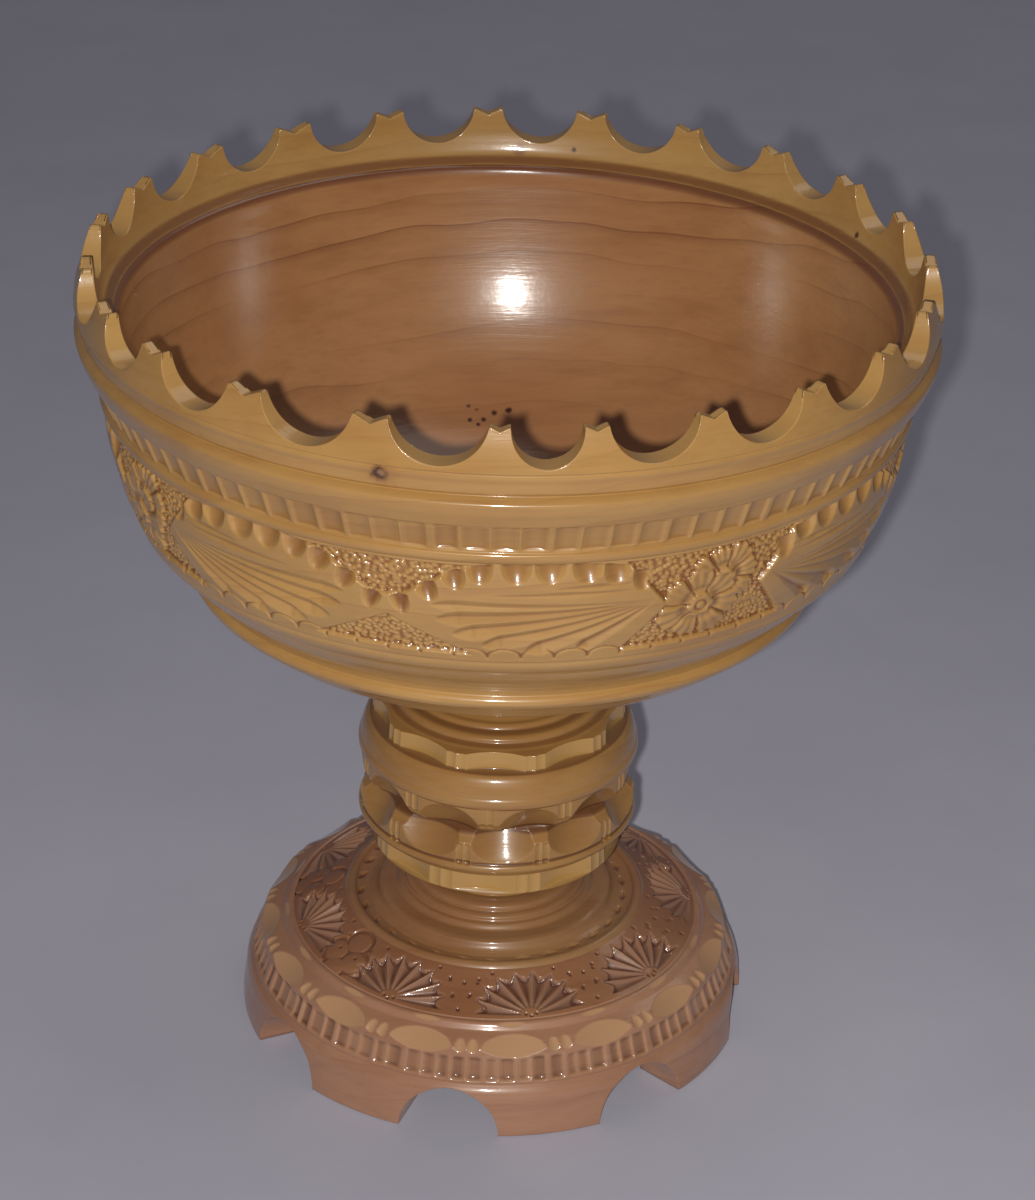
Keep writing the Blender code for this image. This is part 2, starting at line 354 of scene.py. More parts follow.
def slot_cut(length, width, depth, end=0.5):
    """A straight hollow with a concave floor and two hard ends, centred on the spot."""

    def shape(across, down):
        edge = smooth_step((length / 2 - np.abs(down)) / end)
        return depth * np.sqrt(np.maximum(1 - (2 * across / width) ** 2, 0)) * edge

    return shape


def vee_cut(length, width, depth, angle, full=0.7):
    """A V cut that starts at a point, is widest at the given share of its length and ends in a point."""

    def shape(across, down):
        t, s = turned_frame(across, down, angle)
        share = t / length
        grow = np.clip(share / full, 0, 1) ** 0.85
        fade = np.sqrt(np.clip((1 - share) / (1 - full), 0, 1))
        half = np.maximum(width / 2 * np.minimum(grow, fade), 1e-6)
        inside = (share > 0) & (share < 1)
        return np.where(inside, depth * (2 * half / width) * np.maximum(1 - np.abs(s) / half, 0), 0)

    return shape


def punch_mark(radius, depth):
    def shape(across, down):
        return depth * np.maximum(1 - (across**2 + down**2) / radius**2, 0)

    return shape


def arc_cut(half_width, rise, line_width, depth):
    """A thin upright arch: the mark of a gouge pushed straight in."""

    def shape(across, down):
        reach = np.sqrt((across / half_width) ** 2 + (down / rise) ** 2)
        off = np.abs(reach - 1) * (half_width + rise) / 2
        return np.where(down <= 0, depth * np.maximum(1 - 2 * off / line_width, 0), 0)

    return shape


def pebbles(across, down, size, seed):
    """A punched, pebbly ground: 1 on top of each grain and 0 between them."""
    cell_x, cell_y = np.floor(across / size), np.floor(down / size)
    best = np.full(across.shape, 9.0)
    for shift_x in (-1, 0, 1):
        for shift_y in (-1, 0, 1):
            key = (cell_x + shift_x) * 127.1 + (cell_y + shift_y) * 311.7 + seed
            jitter_x = np.modf(np.abs(np.sin(key) * 43758.5453))[0]
            jitter_y = np.modf(np.abs(np.sin(key + 57.3) * 24634.6345))[0]
            far = np.hypot(
                across / size - (cell_x + shift_x + jitter_x),
                down / size - (cell_y + shift_y + jitter_y),
            )
            best = np.minimum(best, far)
    return np.maximum(1 - (best / 0.62) ** 2, 0)


def blossom(radius, petals, start, depth, seed):
    """A flower left standing in a lowered ground: notched, fluted petals round a small rosette."""

    def shape(across, down, before):
        far = np.hypot(across, down)
        angle = np.degrees(np.arctan2(across, -down)) - start
        pitch = TURN / petals
        share = (angle / pitch) % 1.0 - 0.5
        number = np.floor(angle / pitch) % petals
        uneven = 1 + 0.07 * np.sin(number * 2.3 + seed)
        frill = 0.035 * np.cos(share * 3 * math.tau)
        end = radius * uneven * (1 - 1.5 * np.abs(share) ** 3.0 + frill)
        inside = smooth_step((end - far) / 0.5)
        between = np.abs(0.5 - np.abs(share)) * math.radians(pitch) * far
        parting = depth * 0.8 * np.exp(-((between / 0.45) ** 2))
        flutes = 0.28 * (0.5 - 0.5 * np.cos(share * 3 * math.tau)) * smooth_step(far / radius * 1.6 - 0.4)
        dish = 0.75 * np.exp(-(((far / radius - 0.42) / 0.13) ** 2))
        rosette = radius * (0.30 + 0.035 * np.cos(np.radians(angle) * 6))
        button = smooth_step((rosette - far) / 0.4)
        pip = 0.5 * np.exp(-(((far - radius * 0.13) / 0.35) ** 2))
        leaf_depth = np.maximum(parting, flutes + dish) + 0.12
        flower = leaf_depth * (1 - button) + pip * button
        return np.where(far < end, flower * inside + before * (1 - inside), before)

    return shape


# ---------------------------------------------------------------- bowl


def rim_columns():
    """Bearings of the rim's columns and its height at each, crowded on the steep ends of each scallop."""
    bearings, heights = [], []
    per_mm = math.degrees(1 / CREST_OUTER_RADIUS)
    first = (TEETH[0][0] + TURN, TEETH[0][1])
    for (left, left_width), (right, right_width) in zip(TEETH, (*TEETH[1:], first)):
        notch = left_width / 2 / per_mm * NICK_SHARE
        for s in np.linspace(-left_width / 2, left_width / 2, 17) / per_mm:
            bearings.append(left + s * per_mm)
            heights.append(RIM_HEIGHT - NICK_SLOPE * max(0.0, notch - abs(s)))
        start, end = left + left_width / 2, right - right_width / 2
        half = (end - start) / per_mm / 2
        radius = max((half**2 + SCALLOP_DEPTH**2) / (2 * SCALLOP_DEPTH), SCALLOP_DEPTH)
        limit = math.asin(min(half / radius, 1.0)) if half > SCALLOP_DEPTH else math.pi / 2
        wide = half / math.sin(limit)
        for swing in np.linspace(-limit, limit, 37)[1:-1]:
            bearings.append((start + end) / 2 + wide * math.sin(swing) * per_mm)
            heights.append(RIM_HEIGHT - SCALLOP_DEPTH + radius * (1 - math.cos(swing)))
    return np.array(bearings), np.array(heights)


def bowl_rim():
    """The crown: the inner wall up from the ledge, the scalloped edge, and the outer wall."""
    bearings, heights = rim_columns()
    step = 0.2
    crest = (CREST_INNER_RADIUS, RIM_HEIGHT)
    inner = curve([(LEDGE_RADIUS, LEDGE_HEIGHT), (94.0, 194.6), (95.2, 198.0), crest], step)
    outer = curve([(CREST_OUTER_RADIUS, RIM_HEIGHT), (99.8, 201.5), (CROWN_LINE_RADIUS, CROWN_LINE)], step)
    edge = RIM_EDGE_ROUND
    rows = []
    for share in np.linspace(0, 1, RIM_INNER_ROWS):
        level = LEDGE_HEIGHT * (1 - share) + (heights - edge) * share
        rows.append((np.interp(level, inner[:, 1], inner[:, 0]), level))
    inner_top = rows[-1][0]
    outer_top = np.interp(heights - edge, outer[::-1, 1], outer[::-1, 0])
    for turn in np.linspace(20, 90, 4):
        angle = math.radians(turn)
        rows.append((inner_top + edge * (1 - math.cos(angle)), heights - edge + edge * math.sin(angle)))
    for share in np.linspace(0.1, 0.9, 8):
        rows.append((inner_top * (1 - share) + outer_top * share, heights))
    for turn in np.linspace(90, 20, 4):
        angle = math.radians(turn)
        rows.append((outer_top - edge * (1 - math.cos(angle)), heights - edge + edge * math.sin(angle)))
    edge_end = len(rows) - 1
    for share in np.linspace(0, 1, 26):
        level = (heights - edge) * (1 - share) + CROWN_LINE * share
        rows.append((np.interp(level, outer[::-1, 1], outer[::-1, 0]), level))
    relief = ready_relief(rows, bearings)
    # The rim's flat top takes part of the cut colour: its own tone and a painted highlight.
    relief.cut_tone_and_highlight[RIM_INNER_ROWS:edge_end] = 0.35
    # Painted shade in the corner above the ledge.
    relief.add_painted_shade(192.0, 194.6, 0.7)
    return relief


def bowl_inside():
    line = outline(
        0.8,
        [(0.05, 122.0), (24, 122.6), (45, 126.2), (60, 132.8), (71, 141.6), (78.6, 152.0), (83.6, 163.0),
         (87.4, 176.0), (89.6, 187.5)],
        [(89.9, 190.4)],
        [(90.2, 191.6), (91.0, 192.3), (LEDGE_RADIUS, LEDGE_HEIGHT)],
    )
    relief = Relief(line, even_bearings(480))
    rings = 0.035 * np.sin(line[:, 0] * 3.1) * smooth_step((70 - line[:, 0]) / 30)
    relief.depth += rings[:, None]
    # Painted shade in the corner under the ledge.
    relief.press().add_painted_shade(190.6, 193.4, 0.7)
    return relief


def flute_band():
    line = outline(
        0.22,
        [(CROWN_LINE_RADIUS, CROWN_LINE), (100.2, 195.9)],
        [(100.35, 195.4), (99.9, 193.4), (99.6, 191.3)],
        [(98.9, 190.5)],
        [(99.9, 189.95), (100.75, 189.1), (100.55, 187.6), (99.3, 184.4), (98.75, 183.2)],
        [(98.1, 182.9)],
        [(95.2, 175.5)],
        [(95.75, 175.1), (95.85, 174.2), (95.5, 173.2), (94.7, 172.5)],
    )
    relief = Relief(line, even_bearings(FLUTES * 20))
    middle = relief.at_height((FLUTE_TOP + FLUTE_BOTTOM) / 2)
    length = abs(relief.at_height(FLUTE_TOP) - relief.at_height(FLUTE_BOTTOM))
    pitch_mm = math.tau * 96.6 / FLUTES
    random = np.random.default_rng(11)
    for i in range(FLUTES):
        bearing = 0.3 + i * TURN / FLUTES + random.normal(0, 0.12)
        width = pitch_mm * FLUTE_SHARE * (1 + random.normal(0, 0.05))
        cut_length = length * (1 + random.normal(0, 0.02))
        cut = slot_cut(cut_length, width, FLUTE_DEPTH * (1 + random.normal(0, 0.1)), 0.7)
        relief.carve(bearing, middle + random.normal(0, 0.08), 7.0, cut)
    return relief.press()


def frieze_line():
    return outline(
        0.25,
        [(94.7, 172.5), (94.55, 168.0), (93.6, 161.0), (91.8, 154.0), (89.6, 148.2), (88.7, 145.8)],
    )


def bead_height(offset):
    """Height of the garland of beads at so many degrees from a junction."""
    steps = np.array(BEAD_STEPS)
    return np.interp(np.abs(offset), steps[:, 0], steps[:, 1])


def lower_ground(relief, random):
    """Punched triangles above and below each junction and round the flowers."""
    zone = relief.line[:, 1][:, None]
    for junction in JUNCTIONS:
        turn = relief.turn_from(junction)[None, :]
        above = smooth_step((zone - bead_height(turn) - 1.7) / 0.6) * smooth_step((171.9 - zone) / 0.5)
        above = above * (np.abs(turn) < 12)
        apex = 157.6 - np.abs(turn) * 0.86
        below = smooth_step((apex - zone) / 0.6) * smooth_step((zone - FRIEZE_FOOT - 0.3) / 0.5)
        below = below * (np.abs(turn) < 13)
        flower = relief.turn_from(junction + 45)[None, :]
        field = smooth_step((7.5 + np.abs(zone - 159.5) * 0.5 - np.abs(flower)) / 0.5)
        field = field * smooth_step((171.9 - zone) / 0.5) * smooth_step((zone - FRIEZE_FOOT - 0.3) / 0.5)
        mask = np.maximum(np.maximum(above, below), field)
        across = np.repeat(FRIEZE_RADIUS * np.radians(relief.bearing - junction)[None, :], len(zone), 0)
        down = np.repeat(relief.along[:, None], across.shape[1], 1)
        grain = pebbles(across, down, 1.15, random.uniform(0, 50))
        relief.depth = np.maximum(relief.depth, mask * (GROUND_DEPTH - 0.55 * grain))


def leaf(relief, junction, side, random):
    """A leaf of V cuts that fan out from a hub beside the flower towards the junction."""
    hub = (junction + side * 36.0, 161.6)
    hub_along = relief.at_height(hub[1])
    for far_turn, far_height, width in LEAF_CUTS:
        across = FRIEZE_RADIUS * math.radians(junction + side * far_turn - hub[0])
        down = relief.at_height(far_height) - hub_along
        length = math.hypot(across, down) * (1 + random.normal(0, 0.01))
        angle = math.degrees(math.atan2(across, down))
        relief.carve(hub[0], hub_along, length + 3, vee_cut(length, width, 0.27 * width, angle, 0.9))
    start = junction + side * 34.0
    for height_start, height_end, share in ((164.9, 164.6, 0.85), (166.6, 166.3, 0.5)):
        across = -side * FRIEZE_RADIUS * math.radians(24.0) * share
        down = relief.at_height(height_end) - relief.at_height(height_start)
        angle = math.degrees(math.atan2(across, down))
        relief.carve(start, relief.at_height(height_start), 40, vee_cut(abs(across), 1.8, 0.5, angle, 0.5))


def beads(relief, junction, random):
    """A garland of gouge cuts that hangs on both sides of a junction."""
    for side in (-1, 1):
        for (turn, height), width in zip(BEAD_STEPS, BEAD_WIDTHS):
            bearing = junction + side * (turn + random.normal(0, 0.12))
            slope = (bead_height(turn + 1) - bead_height(turn - 1)) / (FRIEZE_RADIUS * math.radians(2))
            lean = side * math.degrees(math.atan(slope)) * 0.75
            stroke = gouge_stroke(5.0 + random.normal(0, 0.15), width, 1.9, lean)
            relief.carve(bearing, relief.at_height(height + 2.1), 8.0, stroke)


def frieze():
    relief = Relief(frieze_line(), even_bearings(1920))
    random = np.random.default_rng(5)
    for junction in JUNCTIONS:
        leaf(relief, junction, 1, random)
        leaf(relief, junction, -1, random)
    lower_ground(relief, random)
    for junction in JUNCTIONS:
        beads(relief, junction, random)
        relief.carve(junction, relief.at_height(165.2), 2.0, punch_mark(1.1, 1.4))
        flower = junction + 45
        relief.mould(flower + 1.2, relief.at_height(163.0), 12, blossom(8.8, 8, 10, 1.3, 1.0))
        relief.mould(flower - 2.0, relief.at_height(157.2), 12, blossom(10.0, 7, 20, 1.3, 4.0))
    count = round(TURN / LUNETTE_PITCH)
    foot = relief.at_height(FRIEZE_FOOT)
    for i in range(count):
        bearing = 0.5 + i * TURN / count
        relief.carve(bearing, foot, 5.0, arc_cut(3.5, 2.3, 0.7, 0.6))
        relief.carve(bearing + TURN / count / 2, foot - 0.2, 3.0, slot_cut(1.8, 0.7, 0.5))
    return relief.press()


def lower_bowl():
    line = outline(
        0.4,
        [(88.7, 145.8), (88.3, 145.3)],
        [(88.2, 144.6), (86.8, 142.2), (84.9, 140.5)],
        [(84.0, 140.3)],
        [(83.6, 139.6), (82.2, 137.6), (80.1, 135.2)],
        [(79.5, 134.9), (78.9, 134.6)],
        [(77.6, 133.0), (75.6, 131.0), (74.8, 129.4)],
        [(75.5, 129.0), (76.0, 127.8), (75.3, 126.3)],
        [(73.0, 124.8), (70.6, 122.4), (64.0, 117.8), (55.0, 113.6), (42.0, 110.0), (28.0, 107.9),
         (22.0, BOWL_SEAT)],
        [(10.0, BOWL_SEAT)],
    )
    return Relief(line, even_bearings(480)).press()


# ---------------------------------------------------------------- stem


KNOP_GROOVE = 66.8
KNOP_SCOOPS = 11
UPPER_SCOOP_BEARING = 12.4
LOWER_SCOOP_BEARING = 3.0
KNOP_WALL = 34.5
SCOOP_RADIUS = 15.5
SCOOP_FULL_DEPTH = 4.6
FACET_RADIUS = 26.0
SMALL_FACET_RADIUS = 4.0
SMALL_FACET_DEPTH = 0.75
FACET_LEAN = 3.0


def ring_facets(relief, count, first, radius, depth, low, high):
    """Long concave facets round a ring, with a pair of small ones between each two."""
    random = np.random.default_rng(count)
    pitch = TURN / count
    level = (low + high) / 2
    for i in range(count):
        middle = first + i * pitch + random.normal(0, 0.5)
        axis = (radius + FACET_RADIUS - depth, level)
        relief.round_cut(middle, axis, FACET_LEAN, FACET_RADIUS, low, high)
        for shift in (-3.1, 3.1):
            axis = (radius + SMALL_FACET_RADIUS - SMALL_FACET_DEPTH, level)
            relief.round_cut(middle + pitch / 2 + shift, axis, FACET_LEAN, SMALL_FACET_RADIUS, low, high)


def stem_top():
    line = outline(
        0.3,
        [(11.2, BOWL_SEAT - 0.3), (16.8, BOWL_SEAT - 0.3)],
        [(16.6, 104.5), (16.9, 98.0), (18.8, 93.4)],
        [(19.4, 92.6), (20.4, 92.0)],
        [(20.9, 91.7), (22.4, 91.4), (23.0, 90.9)],
        [(23.3, 90.4)],
        [(24.4, 90.2), (25.8, 89.9), (26.4, 89.4)],
        [(26.5, 88.6)],
        [(27.6, 88.1), (28.6, 87.7)],
        [(31.2, 87.3)],
        [(31.6, 86.9)],
        [(31.7, 83.3)],
        [(31.9, 83.1)],
        [(32.9, 82.2), (33.7, 80.6), (34.3, 78.4)],
    )
    relief = Relief(line, even_bearings(1080)).press()
    ring_facets(relief, 10, -0.5, 31.7, 2.5, 83.2, 88.0)
    # Painted shade lines: the shadow under the ring's facets, over the ring, and at the neck's step.
    relief.add_painted_shade(82.7, 83.6, 0.6)
    relief.add_painted_shade(87.8, 88.8, 0.5)
    relief.add_painted_shade(90.0, 90.8, 0.5)
    return relief


def knop():
    line = outline(
        0.3,
        [(34.3, 78.4), (34.45, 77.5)],
        [(34.75, 77.0), (34.95, 75.9), (34.85, 74.9)],
        [(34.45, 74.6)],
        [(34.6, 72.4), (34.5, 70.2)],
        [(33.6, 69.2), (31.6, KNOP_GROOVE)],
        [(33.4, 64.8), (34.3, 64.1)],
        [(34.6, 62.0), (34.4, 59.4)],
        [(34.0, 59.0), (34.1, 58.7)],
        [(34.6, 58.3), (34.9, 57.5), (34.6, 56.6)],
        [(34.0, 56.2)],
    )
    relief = Relief(line, even_bearings(1320))
    pitch = TURN / KNOP_SCOOPS
    for i in range(KNOP_SCOOPS):
        upper = UPPER_SCOOP_BEARING + (i + 0.5) * pitch
        lower = LOWER_SCOOP_BEARING + (i + 0.5) * pitch
        # Small upright facets between the scoops take the cut colour, partly a painted highlight.
        for shift in (-1.5, 1.5):
            relief.carve(upper + shift, relief.at_height(71.4), 8, slot_cut(7.0, 1.7, 0.4, 0.3), 0.6)
            relief.carve(lower + shift, relief.at_height(61.2), 8, slot_cut(6.6, 1.7, 0.4, 0.3), 0.6)
    relief.press()
    random = np.random.default_rng(3)
    for i in range(KNOP_SCOOPS):
        wobble = random.normal(0, 0.9, 2)
        upper = UPPER_SCOOP_BEARING + i * pitch + wobble[0]
        lower = LOWER_SCOOP_BEARING + i * pitch + (wobble[1] if i else 0)
        relief.scoop(upper, KNOP_WALL, (74.4, KNOP_GROOVE), SCOOP_FULL_DEPTH, SCOOP_RADIUS)
        relief.scoop(lower, KNOP_WALL, (58.9, KNOP_GROOVE), SCOOP_FULL_DEPTH, SCOOP_RADIUS)
    # Painted shade in the knop's middle crease and along its fine lines below and above.
    relief.add_painted_shade(65.6, 68.0, 0.7)
    relief.add_painted_shade(58.4, 59.2, 0.8)
    relief.add_painted_shade(74.3, 75.0, 0.6)
    return relief


def stem_foot():
    line = outline(
        0.3,
        [(34.0, 56.2), (33.0, 55.6), (32.4, 54.6)],
        [(31.9, 54.3)],
        [(31.6, 48.8)],
        [(31.2, 48.4)],
        [(29.4, 48.0), (27.4, 47.3)],
        [(22.4, 45.8), (18.6, 43.4), (17.4, 40.6), (17.3, FOOT_SEAT + 0.3)],
        [(11.2, FOOT_SEAT + 0.3)],
    )
    relief = Relief(line, even_bearings(1080)).press()
    ring_facets(relief, 9, -4.9, 31.8, 2.6, 48.6, 54.2)
    return relief


# ---------------------------------------------------------------- foot


FAN_BEARINGS = (-117.5, -74.6, -30.3, 11.2, 52.2, 96.4, 130.9, 168.0, 205.0)
# Between two fans: lobes at (across, down) on the left half, dots at (degrees, radius) elsewhere.
LOBE_SPOTS = ((-3.4, 2.6), (3.4, 2.6), (0.0, -2.6), (0.2, 6.8))
DOTS = ((0, 49.6), (-2.6, 46.2), (2.8, 45.4), (-4.8, 41.6), (0.3, 42.4), (5.0, 41.2))
FAN_HUB_RADIUS = 50.6
FAN_REACH = 13.0
FAN_SPREAD = 1.12
FAN_RAYS = 9
FOOT_CORNER = (58.9, 22.0)
EDGE_CUTS = 16
EDGE_CUT_BEARING = 5.5
EDGE_CUT_RADIUS = 42.0
EDGE_CUT_DEPTH = 1.15
EDGE_CUT_LEAN = 52.0
SMALL_CUT_RADIUS = 2.4
SMALL_CUT_DEPTH = 0.55
FOOT_FLUTES = 96
LEGS = 8
LEG_BEARING = 13.5
ARCH_RADIUS = 12.4
ARCH_CENTRE = -0.2
HOLLOW_RADIUS = 51.0


def foot_collar():
    line = outline(
        0.3,
        [(11.2, FOOT_SEAT), (18.4, FOOT_SEAT)],
        [(19.6, 38.1), (20.6, 37.6), (20.9, 36.9)],
        [(20.8, 36.5)],
        [(22.2, 36.3), (22.9, 35.8), (22.9, 35.3)],
        [(23.1, 35.0), (24.2, 34.8), (24.8, 34.2)],
        [(25.0, 33.9), (26.8, 33.5), (28.6, 33.3), (29.4, 33.0)],
        [(30.4, 31.4), (32.2, 30.5)],
        [(34.2, 30.7), (35.3, 31.1)],
        [(35.7, 31.8), (36.7, 32.2), (37.6, 31.8), (38.2, 31.1)],
    )
    relief = Relief(line, even_bearings(720))
    for i in range(30):
        bearing = i * 12 - 4
        angle = 90 if -40 < bearing % TURN < 160 else 65
        relief.carve(bearing, relief.at_radius(33.0), 6, vee_cut(5.2, 2.0, 0.8, angle, 0.5))
    return relief.press()


def fan(reach, rays, depth):
    """A fan of hollow cells round a hub, opening up the slope, with ridges left between the cells."""

    def shape(across, down):
        across = across / FAN_SPREAD
        far = np.hypot(across, down)
        angle = np.degrees(np.arctan2(across, -down))
        spread = 176.0 / rays
        share = ((angle + 88.0) / spread) % 1.0 - 0.5
        end = reach * (1 - 0.17 * (1 - (2 * share) ** 2))
        cell = depth * (1 - np.abs(2 * share) ** 1.7) * np.clip(far / reach * 1.1, 0, 1)
        inside = (np.abs(angle) < 88.0) * smooth_step((end - far) / 0.45) * smooth_step((far - 1.9) / 0.5)
        return cell * inside

    return shape


def lobes(spots, size, depth):
    """A patch of ground cut away round a cluster of smooth round lobes."""

    def shape(across, down, before):
        near = np.full(across.shape, 99.0)
        for x, y in spots:
            near = np.minimum(near, np.hypot(across - x, down - y))
        around = smooth_step((size + 1.1 - near) / 0.5)
        crown = 0.25 * np.clip(near / size, 0, 1) ** 2
        lobe = smooth_step((size - near) / 0.35)
        return np.maximum(before, around * (depth * (1 - lobe) + crown * lobe))

    return shape


def foot_top():
    """The sloping top of the foot: carved fans with lobes or dots between them."""
    line = outline(0.3, [(38.2, 31.1), (38.8, 30.9)], [(51.4, 25.6)])
    relief = Relief(line, even_bearings(1260))
    hub = relief.at_radius(FAN_HUB_RADIUS)
    for left, right in zip(FAN_BEARINGS, (*FAN_BEARINGS[1:], FAN_BEARINGS[0] + TURN)):
        middle = (left + right) / 2
        if -140 < middle < -20:
            relief.mould(middle, relief.at_radius(44.5), 13, lobes(LOBE_SPOTS, 3.3, 0.55))
        else:
            for turn, radius in DOTS:
                relief.carve(middle + turn, relief.at_radius(radius), 2, punch_mark(0.65, 0.5))
    for bearing in FAN_BEARINGS:
        # The fans take the cut colour, partly the cut wood's own lighter tone, partly a painted highlight.
        relief.carve(bearing, hub, FAN_REACH * FAN_SPREAD + 1, fan(FAN_REACH, FAN_RAYS, 2.0), 0.8)
        for shift in (-1.5, 0.0, 1.5):
            relief.carve(bearing + shift, hub + 0.3 - abs(shift) * 0.4, 1.5, punch_mark(0.55, 0.5))
        for ray in range(1, FAN_RAYS):
            swing = math.radians(-88 + ray * 176.0 / FAN_RAYS)
            far = FAN_REACH + 1.0
            along = hub - far * math.cos(swing)
            if along > 0.8:
                radius = float(np.interp(along, relief.along, relief.line[:, 0]))
                turn = math.degrees(far * FAN_SPREAD * math.sin(swing) / radius)
                relief.carve(bearing + turn, along, 1.5, punch_mark(0.6, 0.45))
    return relief.press()


def edge_cut(relief, bearing, cut_radius, depth, low):
    """A leaning round gouge cut into the foot's top corner."""
    lean = math.radians(EDGE_CUT_LEAN)
    lift = cut_radius - depth
    axis = (FOOT_CORNER[0] + lift * math.cos(lean), FOOT_CORNER[1] + lift * math.sin(lean))
    relief.round_cut(bearing, axis, EDGE_CUT_LEAN, cut_radius, low)


def foot_edge():
    """The foot's bead, its top corner with the gouge cuts, and the fluted flank."""
    line = outline(
        0.3,
        [(51.4, 25.6), (51.7, 25.3)],
        [(52.3, 25.5), (53.2, 25.3), (53.8, 24.5)],
        [(54.2, 23.9)],
        [(58.0, 22.5), (59.1, 21.8), (59.5, 20.8)],
        [(62.0, 14.0)],
        [(61.8, 13.6), (61.9, 13.3)],
    )
    relief = Relief(line, even_bearings(FOOT_FLUTES * 12))
    middle = relief.at_height(17.2)
    random = np.random.default_rng(9)
    for i in range(FOOT_FLUTES):
        width = math.tau * 60.8 / FOOT_FLUTES * 0.92 * (1 + random.normal(0, 0.12))
        cut = slot_cut(6.6 + random.normal(0, 0.25), width, 0.85 * (1 + random.normal(0, 0.15)), 1.3)
        # The flutes take a little of the cut colour, partly a painted highlight.
        relief.carve(i * TURN / FOOT_FLUTES + random.normal(0, 0.45), middle, 7, cut, 0.3)
    relief.press()
    for i in range(EDGE_CUTS):
        bearing = EDGE_CUT_BEARING + i * TURN / EDGE_CUTS
        edge_cut(relief, bearing, EDGE_CUT_RADIUS, EDGE_CUT_DEPTH, 14.5)
        for shift in (-1.5, 1.5):
            edge_cut(relief, bearing + TURN / EDGE_CUTS / 2 + shift, SMALL_CUT_RADIUS, SMALL_CUT_DEPTH, 18.0)
    return relief


def arch_height(bearings):
    """Height of the foot's lower edge: the floor under the legs and a round arch between them."""
    pitch = TURN / LEGS
    turn = (bearings - LEG_BEARING) % pitch - pitch / 2
    side = 64.0 * np.radians(turn)
    return np.maximum(ARCH_CENTRE + np.sqrt(np.maximum(ARCH_RADIUS**2 - side**2, 0)), 0) + FLOOR_HEIGHT


def arch_columns():
    """Bearings of the skirt's columns, crowded where the arches meet the floor."""
    bearings = []
    pitch = TURN / LEGS
    half_arch = math.degrees(ARCH_RADIUS / 64.0)
    for leg in range(LEGS):
        middle = LEG_BEARING + (leg + 0.5) * pitch
        swings = np.linspace(-math.pi / 2, math.pi / 2, 49)
        bearings += [middle + half_arch * math.sin(swing) for swing in swings]
        bearings += list(np.linspace(middle + half_arch, middle + pitch - half_arch, 34)[1:-1])
    return np.array(bearings)


def foot_skirt():
    """The plain skirt with its arches, their soffits, the leg soles and the hollow underneath."""
    bearings = arch_columns()
    edge = arch_height(bearings)
    count = len(bearings)
    wall = curve([(61.9, 13.3), (62.7, 12.4), (64.0, 6.5), (64.6, 1.6), (64.6, 0.0)], 0.4)
    rows = []
    for share in np.linspace(0, 1, 34):
        level = 13.3 * (1 - share) + (edge + 0.2) * share
        rows.append((np.interp(level, wall[::-1, 1], wall[::-1, 0]), level))
    sole = np.interp(edge, wall[::-1, 1], wall[::-1, 0])
    for share in np.linspace(0.02, 1, 10):
        rows.append((sole * (1 - share) + (HOLLOW_RADIUS + 0.6) * share, edge))
    for share in np.linspace(0.1, 1, 8):
        rows.append((np.full(count, HOLLOW_RADIUS + 0.6 - share * 0.8), edge * (1 - share) + 12.6 * share))
    for radius in (50.0, 46.0, 30.0, 12.0, 0.05):
        rows.append((np.full(count, radius), np.full(count, 12.9)))
    return ready_relief(rows, bearings)


# ---------------------------------------------------------------- materials


def on_wall(bearing, radius, height):
    turn = math.radians(bearing)
    return (radius * math.sin(turn), -radius * math.cos(turn), height)


# Flaws in the wood: (place, size in mm, colour, strength).
FLAWS = (
    (on_wall(-14.6, 100.2, 194.2), 4.4, (0.30, 0.13, 0.035), 0.45),
    (on_wall(-15.0, 100.2, 194.0), 2.4, (0.06, 0.018, 0.008), 0.95),
    (on_wall(-14.7, 100.2, 194.2), 1.1, (0.30, 0.16, 0.07), 0.9),
    (on_wall(170.4, 95.0, 196.3), 0.9, (0.05, 0.015, 0.008), 0.9),
    (on_wall(116.2, 94.3, 195.0), 1.1, (0.05, 0.015, 0.008), 0.9),
    (on_wall(179.0, 94.6, 195.6), 2.2, (0.22, 0.07, 0.03), 0.6),
    ((-9.8, 64.0, 136.6), 0.9, (0.05, 0.012, 0.006), 1.0),
    ((-7.6, 63.4, 135.9), 0.8, (0.05, 0.012, 0.006), 1.0),
    ((-3.2, 63.0, 135.3), 1.1, (0.05, 0.012, 0.006), 1.0),
    ((0.6, 63.8, 135.8), 1.2, (0.05, 0.012, 0.006), 1.0),
    ((-9.4, 60.8, 134.0), 0.9, (0.05, 0.012, 0.006), 1.0),
    ((-5.8, 61.2, 134.0), 0.9, (0.05, 0.012, 0.006), 1.0),
    ((-7.2, 60.0, 133.1), 0.7, (0.05, 0.012, 0.006), 1.0),
)


